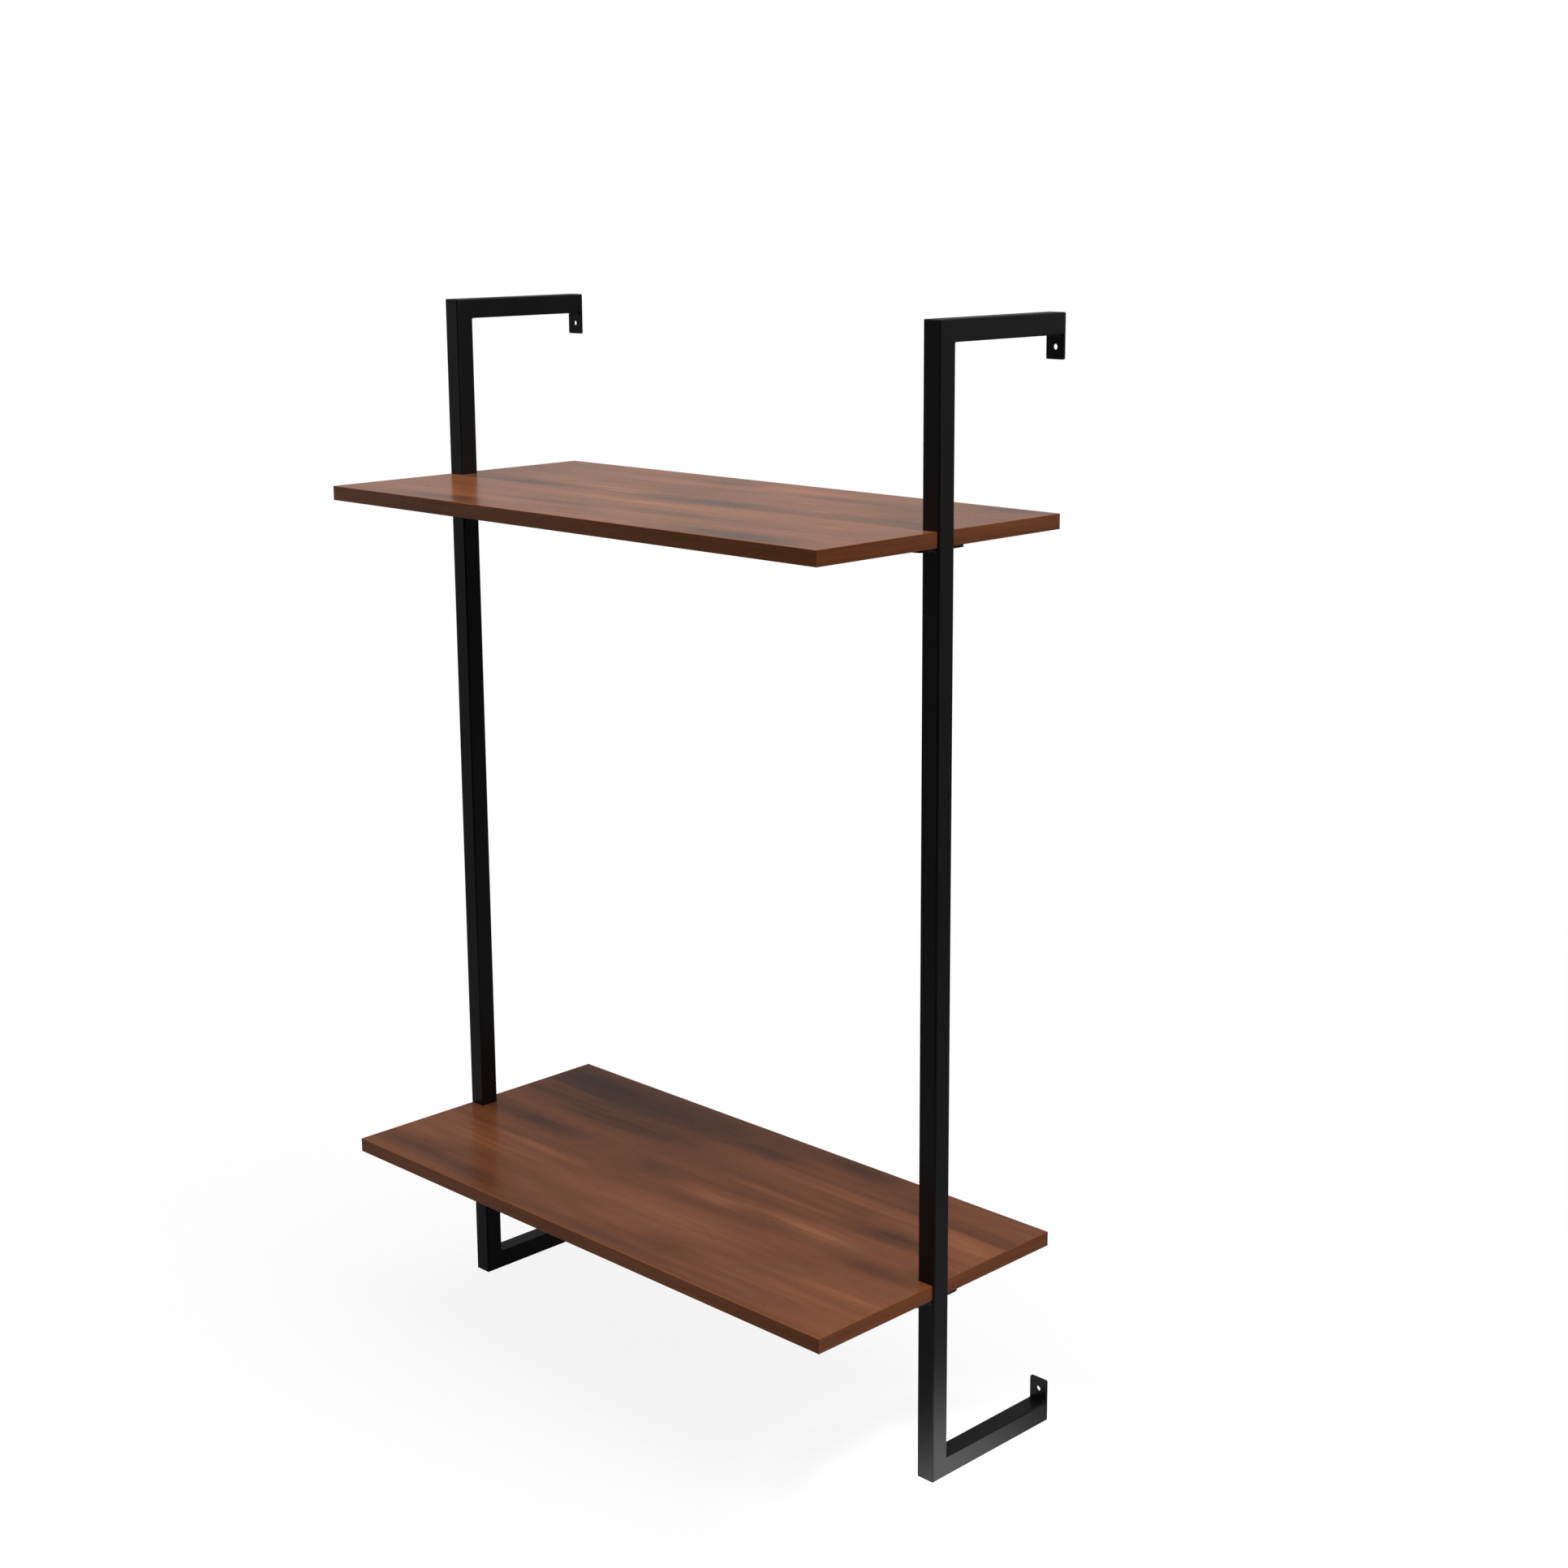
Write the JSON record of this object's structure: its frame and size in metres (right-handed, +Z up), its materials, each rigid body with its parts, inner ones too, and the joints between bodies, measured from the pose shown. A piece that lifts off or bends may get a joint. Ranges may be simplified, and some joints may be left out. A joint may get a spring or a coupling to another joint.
{
  "type": "wall shelf",
  "caption": "Two-tier wall shelf: walnut laminated boards between black square-tube side frames that stand off the wall, with wall tabs at the ends of the arms.",
  "frame": {"origin": "centre of the four wall holes, on the wall plane, midway between the side frames and at mid-height", "axes": "+X along the shelves to the right as seen from the front, +Y towards the wall, +Z up"},
  "size_m": [0.855, 0.401, 1.35],
  "materials": {
    "powder_coat": "satin black powder coat on steel",
    "walnut_laminate": "satin walnut-pattern laminate, grain along the board",
    "walnut_edge_band": "satin walnut-pattern edge band",
    "chipboard": "raw chipboard",
    "screw_steel": "zinc-plated steel"
  },
  "bodies": {
    "root": {"left_post": "powder_coat", "left_weld_beads": "powder_coat", "left_top_arm": "powder_coat", "left_top_wall_tab": "powder_coat", "left_bottom_arm": "powder_coat", "left_bottom_wall_tab": "powder_coat", "left_upper_shelf_plate": "powder_coat", "left_upper_plate_screws": "screw_steel", "left_lower_shelf_plate": "powder_coat", "left_lower_plate_screws": "screw_steel", "right_post": "powder_coat", "right_weld_beads": "powder_coat", "right_top_arm": "powder_coat", "right_top_wall_tab": "powder_coat", "right_bottom_arm": "powder_coat", "right_bottom_wall_tab": "powder_coat", "right_upper_shelf_plate": "powder_coat", "right_upper_plate_screws": "screw_steel", "right_lower_shelf_plate": "powder_coat", "right_lower_plate_screws": "screw_steel", "upper_shelf_core": "chipboard", "upper_shelf_top_laminate": "walnut_laminate", "upper_shelf_bottom_laminate": "walnut_laminate", "upper_shelf_front_edge_band": "walnut_edge_band", "upper_shelf_rear_edge_band": "walnut_edge_band", "upper_shelf_left_front_end_band": "walnut_edge_band", "upper_shelf_left_rear_end_band": "walnut_edge_band", "upper_shelf_right_front_end_band": "walnut_edge_band", "upper_shelf_right_rear_end_band": "walnut_edge_band", "lower_shelf_core": "chipboard", "lower_shelf_top_laminate": "walnut_laminate", "lower_shelf_bottom_laminate": "walnut_laminate", "lower_shelf_front_edge_band": "walnut_edge_band", "lower_shelf_rear_edge_band": "walnut_edge_band", "lower_shelf_left_front_end_band": "walnut_edge_band", "lower_shelf_left_rear_end_band": "walnut_edge_band", "lower_shelf_right_front_end_band": "walnut_edge_band", "lower_shelf_right_rear_end_band": "walnut_edge_band"}
  },
  "joints": []
}
